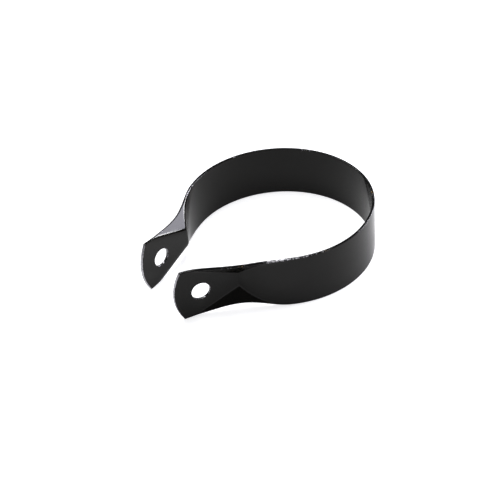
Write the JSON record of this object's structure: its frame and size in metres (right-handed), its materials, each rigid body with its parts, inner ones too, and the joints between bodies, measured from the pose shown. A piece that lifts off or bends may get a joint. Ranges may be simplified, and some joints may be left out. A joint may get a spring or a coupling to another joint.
{
  "type": "band clamp",
  "caption": "Sprung steel band clamp: a flat strip bent into an open ring with gusseted corners and round-ended ears that a screw draws together.",
  "frame": {"origin": "centre of the ring's bore, halfway up the band", "axes": "+Z along the bore, ears towards -Y, springy back at +Y; right is +X"},
  "size_m": [0.069, 0.0879, 0.02],
  "materials": {
    "black_enamel": "gloss"
  },
  "bodies": {
    "right_half": {"band_right": "black_enamel"},
    "left_half": {"band_left": "black_enamel"}
  },
  "joints": [
    {"name": "band_flex", "type": "hinge", "parent": "right_half", "child": "left_half", "pos_m": [0, 0.034, 0], "axis": [0, 0, 1], "range_deg": [-4, 11], "stiffness_Nm_per_rad": 4}
  ]
}
